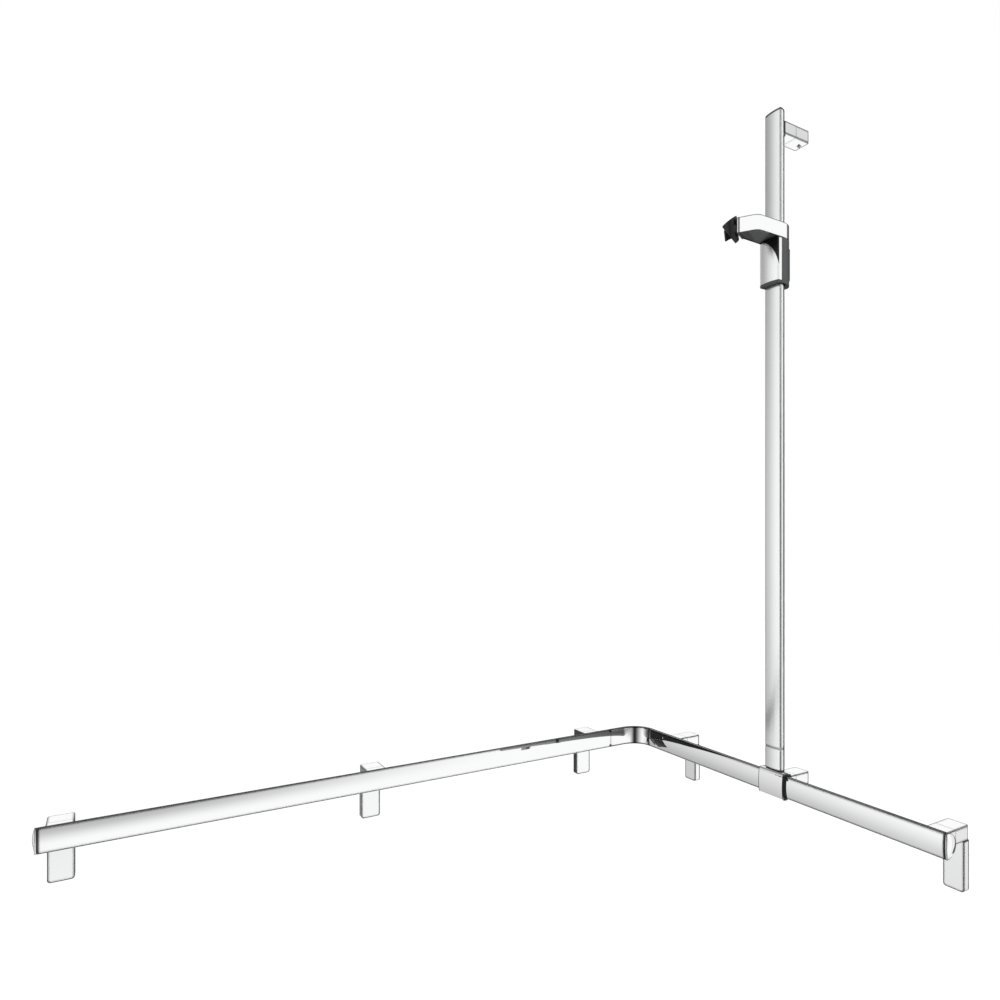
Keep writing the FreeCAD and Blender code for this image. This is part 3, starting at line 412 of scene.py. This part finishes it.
@dataclass(frozen=True)
class QuietSeam:
    """A box round a fine seam, in metres, in which the painted dark edge lines are drawn more faintly.

    The line has its share out to full_to of the box's half, and grows to its whole from there.
    """

    centre: Point
    half: Point
    share: float
    full_to: float = 0.8

    def strength(self, tree: ShaderTree) -> bpy.types.NodeSocket:
        """Works out how strongly an edge line shows.

        Args:
            tree: The material's tree.

        Returns:
            The output with the strength, share inside the box and 1 outside.
        """
        away = tree.vector("SUBTRACT", tree.object_place(), self.centre).outputs["Vector"]
        size = tree.vector("ABSOLUTE", away).outputs["Vector"]
        scaled = tree.axes(tree.vector("DIVIDE", size, self.half).outputs["Vector"])
        farthest = tree.math("MAXIMUM", tree.math("MAXIMUM", scaled["X"], scaled["Y"]), scaled["Z"])
        return tree.ramp(farthest, self.full_to, 1.0, self.share, 1.0)


@dataclass(frozen=True)
class MirrorChrome:
    """Polished chrome plate, with painted dark lines along its crisp edges in place of their dark
    reflections.

    Where its side shade is set, it paints shade onto the faces that look left along the back wall.
    """

    level: float = 0.955
    tint: Point = (1.0, 1.003, 1.008)
    line_level: float = 0.03
    line_width: float = 4.6 * MM
    line_strength: float = 0.96
    low_roughness: float = 0.02
    high_roughness: float = 0.045
    shade: PaintedArmReflection | None = None
    quiet: QuietSeam | None = None
    painted_side_shade: float = 0.0
    side_full: float = -0.9
    side_none: float = -0.6

    def make(self, title: str, effects: Effects) -> bpy.types.Material:
        """Builds the material.

        Args:
            title: The material's name.
            effects: The shared node groups.

        Returns:
            The material.
        """
        material, tree, shader = start_material(title)
        line = tree.group(effects.painted_edge_line, Width=self.line_width, Strength=self.line_strength)
        marks = tree.group(effects.handling, Low=self.low_roughness, High=self.high_roughness)
        bright = (*(self.level * share for share in self.tint), 1.0)
        dark = grey(self.line_level)
        # Painted light: the edge lines, the arm's painted reflection and the painted side shade all darken
        # the colour.
        drawn = line.outputs["Mask"]
        if self.quiet:
            drawn = tree.math("MULTIPLY", drawn, self.quiet.strength(tree))
        colour = tree.blend(drawn, bright, dark)
        if self.shade:
            colour = tree.blend(self.shade.mask(tree), colour, dark)
        if self.painted_side_shade:
            colour = tree.blend(self.painted_left_shade(tree), colour, dark)
        tree.feed(shader.inputs["Base Color"], colour)
        tree.feed(shader.inputs["Roughness"], marks.outputs["Roughness"])
        shader.inputs["Metallic"].default_value = 1.0
        return material

    def painted_left_shade(self, tree: ShaderTree) -> bpy.types.NodeSocket:
        """Finds the faces that look along the back wall, away from the corner, which get painted shade.

        Args:
            tree: The material's tree.

        Returns:
            The output with their share of painted shade.
        """
        facing = tree.axes(tree.surface_normal())
        return tree.ramp(facing["X"], self.side_full, self.side_none, self.painted_side_shade, 0.0)


@dataclass(frozen=True)
class SatinMetal:
    """Stainless steel or milled alloy with a fine directional grain."""

    level: float = 0.55
    low_tone: float = 0.86
    grain_scale: float = 900.0
    grain_detail: float = 3.0
    stretch: Point = (1.0, 1.0, 0.04)
    tone_span: tuple[float, float] = (0.25, 0.75)
    gloss_span: tuple[float, float] = (0.2, 0.8)
    roughness: float = 0.32
    smoothest: float = 0.8
    roughest: float = 1.25
    bump: float = 0.15
    bump_height: float = 0.05 * MM
    line_width: float = 0.4 * MM
    line_strength: float = 0.5
    line_tone: float = 0.35

    def make(self, title: str, effects: Effects) -> bpy.types.Material:
        """Builds the material.

        Args:
            title: The material's name.
            effects: The shared node groups.

        Returns:
            The material.
        """
        material, tree, shader = start_material(title)
        along = tree.add("Mapping", Vector=tree.object_place(), Scale=self.stretch)
        brush = tree.add("TexNoise", Vector=along.outputs["Vector"], Scale=self.grain_scale,
                         Detail=self.grain_detail).outputs["Fac"]
        line = tree.group(effects.painted_edge_line, Width=self.line_width, Strength=self.line_strength)
        tone = tree.ramp(brush, *self.tone_span, self.level * self.low_tone, self.level)
        metal = tree.add("CombineColor", Red=tone, Green=tone, Blue=tone)
        # Painted dark lines along the crisp edges stand in for the dark reflections in their rounding.
        tree.feed(shader.inputs["Base Color"],
                  tree.blend(line.outputs["Mask"], metal.outputs["Color"], grey(self.level * self.line_tone)))
        tree.feed(shader.inputs["Roughness"],
                  tree.ramp(brush, *self.gloss_span,
                            self.roughness * self.smoothest, self.roughness * self.roughest))
        bump = tree.add("Bump", Strength=self.bump, Distance=self.bump_height, Height=brush)
        tree.feed(shader.inputs["Normal"], bump.outputs["Normal"])
        shader.inputs["Metallic"].default_value = 1.0
        return material


@dataclass(frozen=True)
class MouldedPlastic:
    """Dark moulded plastic or rubber with its grain, lighter crisp edges and painted shade in its gaps.

    Faces that look down get painted shade, keeping only a share of their colour.
    """

    colour: Point
    roughness: float = 0.42
    smoothest: float = 0.85
    roughest: float = 1.2
    marks_scale: float = 30.0
    grain_scale: float = 2200.0
    grain_tone: float = 0.3
    grain_depth: float = 0.03 * MM
    bump: float = 0.5
    edge_width: float = 0.5 * MM
    edge_strength: float = 0.6
    edge_gain: float = 1.8
    specular: float = 0.45
    under_shade: float = 1.0
    under_full: float = -0.95
    under_none: float = -0.7

    def make(self, title: str, effects: Effects) -> bpy.types.Material:
        """Builds the material.

        Args:
            title: The material's name.
            effects: The shared node groups.

        Returns:
            The material.
        """
        material, tree, shader = start_material(title)
        grain = tree.group(effects.grain, Scale=self.grain_scale, Tone=self.grain_tone)
        edges = tree.group(effects.painted_edge_line, Width=self.edge_width, Strength=self.edge_strength)
        marks = tree.group(effects.handling, Scale=self.marks_scale, Low=self.roughness * self.smoothest,
                           High=self.roughness * self.roughest)
        # Painted shade: the colour is darkened in narrow gaps and on faces that look down.
        gaps = tree.group(effects.cavity_shade)
        facing = tree.axes(tree.surface_normal())
        painted_under_shade = tree.ramp(facing["Z"], self.under_full, self.under_none, self.under_shade, 1.0)
        painted_shade_factor = tree.math("MULTIPLY", gaps.outputs["Light"], painted_under_shade)
        shaded = tree.vector("SCALE", self.colour)
        tree.feed(shaded.inputs["Scale"], tree.math("MULTIPLY", grain.outputs["Shade"], painted_shade_factor))
        # The colour is lighter along crisp edges.
        lightened_edge_colour = (*(channel * self.edge_gain for channel in self.colour), 1.0)
        tree.feed(shader.inputs["Base Color"],
                  tree.blend(edges.outputs["Mask"], shaded.outputs["Vector"], lightened_edge_colour))
        tree.feed(shader.inputs["Roughness"], marks.outputs["Roughness"])
        bump = tree.add("Bump", Strength=self.bump, Distance=self.grain_depth, Height=grain.outputs["Height"])
        tree.feed(shader.inputs["Normal"], bump.outputs["Normal"])
        shader.inputs["Specular IOR Level"].default_value = self.specular
        return material


class FinishRack:
    """All finishes of the rail."""

    leg_seam = QuietSeam(centre=(-0.157, 0.43, 0.0), half=(0.006, 0.06, 0.015), share=0.12)
    upright_seam = QuietSeam(centre=(-0.079, 0.0, 0.067), half=(0.05, 0.05, 0.0035), share=0.6)

    def __init__(self) -> None:
        """Builds the shared groups and every material."""
        effects = Effects(painted_edge_line=PaintedEdgeLine().make(), handling=HandlingMarks().make(),
                          grain=MouldedGrain().make(), cavity_shade=PaintedCavityShade().make())
        self.materials = {finish: recipe.make(finish.title, effects)
                          for finish, recipe in self.recipes().items()}

    def recipes(self) -> dict[Finish, MirrorChrome | SatinMetal | MouldedPlastic]:
        """Lists the recipe of each finish.

        Returns:
            The recipes, by finish.
        """
        return {
            Finish.CHROME: MirrorChrome(),
            Finish.SHADED_CHROME: MirrorChrome(painted_side_shade=0.95),
            Finish.RAIL_CHROME: MirrorChrome(line_width=6.0 * MM, quiet=self.leg_seam),
            Finish.ELBOW_CHROME: MirrorChrome(line_width=7.5 * MM, quiet=self.leg_seam),
            Finish.CAP_CHROME: MirrorChrome(line_width=1.5 * MM),
            Finish.UPRIGHT_CHROME: MirrorChrome(low_roughness=0.20, high_roughness=0.24,
                                                quiet=self.upright_seam),
            Finish.FINE_CHROME: MirrorChrome(line_width=3.0 * MM),
            Finish.SHELL_CHROME: MirrorChrome(line_width=3.4 * MM, low_roughness=0.26, high_roughness=0.30,
                                              shade=PaintedArmReflection()),
            Finish.STEEL: SatinMetal(),
            Finish.ALLOY: SatinMetal(level=0.66, grain_scale=500.0, roughness=0.38),
            Finish.GREY_PLASTIC: MouldedPlastic(SLATE, specular=0.3),
            # Painted shade: the carriage is nearly black on the faces that look down.
            Finish.CARRIAGE_PLASTIC: MouldedPlastic(SLATE, specular=0.3, under_shade=0.05),
            Finish.SOCKET_PLASTIC: MouldedPlastic((0.011, 0.011, 0.012), roughness=0.36, specular=0.35),
            Finish.BLACK_RUBBER: MouldedPlastic((0.014, 0.014, 0.015), roughness=0.62,
                                                grain_scale=1500.0, specular=0.3),
            Finish.GLIDE_PLASTIC: MouldedPlastic((0.05, 0.05, 0.052), roughness=0.3),
        }

    def dress(self, piece: bpy.types.Object, finish: Finish) -> None:
        """Gives a piece the material of its finish.

        Args:
            piece: The object to dress.
            finish: The finish that it takes.
        """
        piece.data.materials.clear()
        piece.data.materials.append(self.materials[finish])


@dataclass
class SubAssembly:
    """A group of nodes that is dressed together."""

    finishes: FinishRack
    slots: dict[str, Finish] = field(default_factory=dict)

    def build(self) -> None:
        """Dresses every node of the group."""
        for name, finish in self.slots.items():
            self.finishes.dress(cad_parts[name], finish)
            LOG.info("dressed %s as %s", name, finish.title)


@dataclass
class HandRail(SubAssembly):
    """The two legs of the hand rail, the elbow between them and their end caps."""

    slots: dict[str, Finish] = field(default_factory=lambda: {
        "long_rail": Finish.RAIL_CHROME,
        "short_rail": Finish.RAIL_CHROME,
        "corner_elbow": Finish.ELBOW_CHROME,
        "long_end_cap": Finish.CAP_CHROME,
        "short_end_cap": Finish.FINE_CHROME,
        "elbow_screws": Finish.STEEL,
    })


@dataclass
class WallBrackets(SubAssembly):
    """The wall brackets of the hand rail and the top one, with their plates, bolts and screws."""

    places: tuple[str, ...] = ("long_inner", "long_middle", "long_outer",
                               "short_inner", "short_middle", "short_outer")
    bare_place: str = "short_middle"
    corner_place: str = "long_inner"

    def __post_init__(self) -> None:
        """Lists the nodes of each bracket, where the one behind the upright has no cover."""
        for place in self.places:
            self.slots["bracket_arm_" + place] = Finish.CHROME
            self.slots["bracket_plate_" + place] = Finish.STEEL
            if place != self.bare_place:
                self.slots["bracket_cover_" + place] = Finish.CHROME
        self.slots["top_bracket_arm"] = Finish.CHROME
        for name in ("top_bracket_plate", "rail_bolts", "rail_nuts", "locking_screws"):
            self.slots[name] = Finish.STEEL
        # The corner bracket's chrome has painted shade on its left-facing sides.
        for kind in ("bracket_arm_", "bracket_cover_"):
            self.slots[kind + self.corner_place] = Finish.SHADED_CHROME


@dataclass
class Upright(SubAssembly):
    """The upright rail, its cap, and the tee that clamps it to the short leg."""

    slots: dict[str, Finish] = field(default_factory=lambda: {
        "upright_rail": Finish.UPRIGHT_CHROME,
        "upright_top_cap": Finish.CHROME,
        "upright_base": Finish.UPRIGHT_CHROME,
        "tee_shell": Finish.FINE_CHROME,
        "upright_splice": Finish.ALLOY,
        "splice_screws": Finish.STEEL,
        "tee_bolt": Finish.STEEL,
        "tee_liner": Finish.BLACK_RUBBER,
        "tee_gasket": Finish.BLACK_RUBBER,
    })


@dataclass
class Slider(SubAssembly):
    """The sliding carriage with its bright shell, its arm and its brake."""

    slots: dict[str, Finish] = field(default_factory=lambda: {
        # The front shell's chrome carries a painted reflection of the arm.
        "slider_front_shell": Finish.SHELL_CHROME,
        "slider_arm": Finish.FINE_CHROME,
        "slider_carriage": Finish.CARRIAGE_PLASTIC,
        "slider_arm_core": Finish.GREY_PLASTIC,
        "release_lever": Finish.SOCKET_PLASTIC,
        "brake_shoe": Finish.BLACK_RUBBER,
        "upper_glide": Finish.GLIDE_PLASTIC,
        "lower_glide": Finish.GLIDE_PLASTIC,
        "lever_pin": Finish.STEEL,
        "lever_spring": Finish.STEEL,
    })


@dataclass
class HandsetHolder(SubAssembly):
    """The socket for the hand shower, with its swivel."""

    slots: dict[str, Finish] = field(default_factory=lambda: {
        "swivel_ring": Finish.FINE_CHROME,
        "swivel_bearing": Finish.SOCKET_PLASTIC,
        "handset_socket": Finish.SOCKET_PLASTIC,
        "swivel_shaft": Finish.STEEL,
        "swivel_washer": Finish.STEEL,
        "swivel_nut": Finish.STEEL,
    })


@dataclass(frozen=True)
class ShadedBand:
    """A soft dark band of the room, in degrees, that only bright metal shows.

    It is centred on azimuth and reaches from low to high. The four fades lie outside that, and
    depth is the share of the light that it takes.
    """

    azimuth: float
    half_width: float
    fade_back: float
    fade_on: float
    low: float
    high: float
    low_fade: float
    high_fade: float
    depth: float

    def light(self, tree: ShaderTree, azimuth: bpy.types.NodeSocket,
              elevation: bpy.types.NodeSocket) -> bpy.types.NodeSocket:
        """Works out how much light the band leaves, from 0 to 1.

        Args:
            tree: The world's tree.
            azimuth: The direction's azimuth in degrees.
            elevation: The direction's elevation in degrees.

        Returns:
            The output with the share of light left.
        """
        around = tree.math("WRAP", tree.math("SUBTRACT", azimuth, self.azimuth), HALF_TURN, -HALF_TURN)
        behind = tree.ramp(around, -self.half_width - self.fade_back, -self.half_width)
        ahead = tree.ramp(around, self.half_width, self.half_width + self.fade_on, 1.0, 0.0)
        above = tree.ramp(elevation, self.low - self.low_fade, self.low)
        below = tree.ramp(elevation, self.high, self.high + self.high_fade, 1.0, 0.0)
        side = tree.math("MULTIPLY", behind, ahead)
        cover = tree.math("MULTIPLY", tree.math("MULTIPLY", side, above), below)
        return tree.math("MULTIPLY_ADD", cover, -self.depth, 1.0)


@dataclass(frozen=True)
class WhiteRoom:
    """The white surroundings, with dark bands, zenith and nadir for reflections only."""

    open_light: float = 0.85
    zenith_from: float = 32.0
    zenith_to: float = 58.0
    zenith_depth: float = 0.97
    nadir_from: float = -55.0
    nadir_to: float = -80.0
    nadir_depth: float = 0.85
    bands: tuple[ShadedBand, ...] = (
        ShadedBand(azimuth=230.0, half_width=1.0, fade_back=56.0, fade_on=38.0,
                   low=-75.0, high=7.0, low_fade=8.0, high_fade=8.0, depth=0.98),
        ShadedBand(azimuth=109.0, half_width=2.0, fade_back=8.0, fade_on=42.0,
                   low=-30.0, high=60.0, low_fade=30.0, high_fade=30.0, depth=0.50),
        ShadedBand(azimuth=109.0, half_width=2.0, fade_back=8.0, fade_on=60.0,
                   low=26.0, high=60.0, low_fade=26.0, high_fade=26.0, depth=0.42),
        ShadedBand(azimuth=60.0, half_width=40.0, fade_back=12.0, fade_on=12.0,
                   low=-21.0, high=7.0, low_fade=4.0, high_fade=8.0, depth=0.92),
        ShadedBand(azimuth=-43.0, half_width=5.0, fade_back=6.0, fade_on=6.0,
                   low=27.0, high=34.0, low_fade=2.0, high_fade=5.0, depth=0.27),
        ShadedBand(azimuth=9.0, half_width=15.0, fade_back=8.0, fade_on=8.0,
                   low=-60.0, high=60.0, low_fade=10.0, high_fade=10.0, depth=0.90),
        ShadedBand(azimuth=137.0, half_width=10.0, fade_back=30.0, fade_on=30.0,
                   low=-85.0, high=-40.0, low_fade=40.0, high_fade=40.0, depth=0.30),
        ShadedBand(azimuth=-31.0, half_width=5.0, fade_back=8.0, fade_on=10.0,
                   low=-60.0, high=-4.0, low_fade=10.0, high_fade=10.0, depth=0.18),
        ShadedBand(azimuth=-94.0, half_width=4.0, fade_back=20.0, fade_on=26.0,
                   low=6.0, high=9.0, low_fade=34.0, high_fade=5.0, depth=0.55),
    )

    def build(self) -> None:
        """Makes the world."""
        world = bpy.data.worlds.new("studio")
        bpy.context.scene.world = world
        world.use_nodes = True
        world.node_tree.nodes.clear()
        tree = ShaderTree(world.node_tree)
        direction = tree.axes(tree.add("TexCoord").outputs["Generated"])
        azimuth = tree.math("DEGREES", tree.math("ARCTAN2", direction["Y"], direction["X"]))
        elevation = tree.math("DEGREES", tree.math("ARCSINE", direction["Z"]))
        rays = tree.add("LightPath").outputs
        reflected = tree.math("MAXIMUM", rays["Is Glossy Ray"], rays["Is Transmission Ray"])
        plain = tree.math("MULTIPLY_ADD", rays["Is Camera Ray"], 1.0 - self.open_light, self.open_light)
        strength = tree.math(
            "ADD", tree.math("MULTIPLY", reflected, self.mirrored_light(tree, azimuth, elevation)),
            tree.math("MULTIPLY", tree.math("SUBTRACT", 1.0, reflected), plain))
        background = tree.add("Background", Color=grey(1.0), Strength=strength)
        tree.add("OutputWorld", Surface=background.outputs["Background"])

    def mirrored_light(self, tree: ShaderTree, azimuth: bpy.types.NodeSocket,
                       elevation: bpy.types.NodeSocket) -> bpy.types.NodeSocket:
        """Works out the light that bright metal mirrors from each direction.

        Args:
            tree: The world's tree.
            azimuth: The direction's azimuth in degrees.
            elevation: The direction's elevation in degrees.

        Returns:
            The output with the light, from 0 to 1.
        """
        top = tree.ramp(elevation, self.zenith_from, self.zenith_to, 1.0, 1.0 - self.zenith_depth)
        bottom = tree.ramp(elevation, self.nadir_to, self.nadir_from, 1.0 - self.nadir_depth, 1.0)
        light = tree.math("MULTIPLY", top, bottom)
        for band in self.bands:
            light = tree.math("MULTIPLY", light, band.light(tree, azimuth, elevation))
        return light


@dataclass(frozen=True)
class Floor:
    """The pale floor far below the rail, white to the camera but keeping its shadow."""

    height: float = -0.85
    side: float = 14.0
    level: float = 0.90
    glow: float = 1.1
    glow_share: float = 0.8

    def build(self) -> None:
        """Makes the floor, which bright metal does not see."""
        mesh = bpy.data.meshes.new("floor")
        shape = bmesh.new()
        bmesh.ops.create_grid(shape, x_segments=1, y_segments=1, size=self.side / 2,
                              matrix=Matrix.Translation((0.0, 0.0, self.height)))
        shape.to_mesh(mesh)
        shape.free()
        mesh.materials.append(self.paint())
        floor = bpy.data.objects.new("floor", mesh)
        floor.visible_glossy = False
        bpy.context.scene.collection.objects.link(floor)

    def paint(self) -> bpy.types.Material:
        """Makes the floor's material.

        Returns:
            The material, a matt paint that glows for the camera.
        """
        material = bpy.data.materials.new("pale_floor")
        material.use_nodes = True
        material.node_tree.nodes.clear()
        tree = ShaderTree(material.node_tree)
        matt = tree.add("BsdfDiffuse", Color=grey(self.level))
        white = tree.add("Emission", Color=grey(1.0), Strength=self.glow)
        camera_ray = tree.add("LightPath").outputs["Is Camera Ray"]
        mixed = tree.add("MixShader")
        tree.feed_in_order(mixed, (tree.math("MULTIPLY", camera_ray, self.glow_share),
                                   matt.outputs["BSDF"], white.outputs["Emission"]))
        tree.add("OutputMaterial", Surface=mixed.outputs["Shader"])
        return material


@dataclass(frozen=True)
class Lamp:
    """One large soft lamp with a square face, in metres and watts."""

    name: str
    place: Point
    side: float
    power: float
    aim: Point = (-0.4, 0.1, 0.4)

    def build(self) -> None:
        """Makes the lamp, which neither the camera nor bright metal sees."""
        data = bpy.data.lights.new(self.name, "AREA")
        data.size = self.side
        data.energy = self.power
        lamp = bpy.data.objects.new(self.name, data)
        lamp.location = self.place
        lamp.rotation_euler = (Vector(self.aim) - Vector(self.place)).to_track_quat("-Z", "Y").to_euler()
        lamp.visible_glossy = False
        lamp.visible_camera = False
        bpy.context.scene.collection.objects.link(lamp)


@dataclass(frozen=True)
class Studio:
    """The white room with its floor and soft lamps."""

    room: WhiteRoom = WhiteRoom()
    floor: Floor = Floor()
    key: Lamp = Lamp("key_lamp", place=(-2.4, -2.6, 2.8), side=2.6, power=55.0)
    fill: Lamp = Lamp("fill_lamp", place=(1.8, -2.2, 1.6), side=2.2, power=22.0)

    def build(self) -> None:
        """Makes the world, the floor and the lamps."""
        for part in (self.room, self.floor, self.key, self.fill):
            part.build()


@dataclass(frozen=True)
class Viewpoint:
    """The photograph's camera: level, turned towards the room's corner, with a small shift."""

    place: Point = (-1.09523, -1.00741, 0.45735)
    level_tilt: float = 90.0
    turn: float = 34.703
    focal_pixels: float = 753.843
    centre_x: float = 632.464
    centre_y: float = 537.792
    picture_side: float = 1000.0
    sensor: float = 36.0

    def build(self) -> None:
        """Makes the camera and the scene's view settings."""
        data = bpy.data.cameras.new("camera")
        data.sensor_width = self.sensor
        data.lens = self.focal_pixels * self.sensor / self.picture_side
        data.shift_x = (self.picture_side / 2 - self.centre_x) / self.picture_side
        data.shift_y = (self.centre_y - self.picture_side / 2) / self.picture_side
        camera = bpy.data.objects.new("camera", data)
        camera.location = self.place
        camera.rotation_euler = (math.radians(self.level_tilt), 0.0, -math.radians(self.turn))
        bpy.context.scene.collection.objects.link(camera)
        bpy.context.scene.camera = camera
        bpy.context.scene.view_settings.view_transform = "Standard"


def main() -> None:
    """Builds the rail's looks, the studio and the view, in order."""
    logging.basicConfig(level=logging.INFO, format="%(name)s: %(message)s")
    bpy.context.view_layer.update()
    finishes = FinishRack()
    for assembly in (HandRail, WallBrackets, Upright, Slider, HandsetHolder):
        assembly(finishes).build()
    Studio().build()
    Viewpoint().build()


if __name__ == "__main__":
    main()
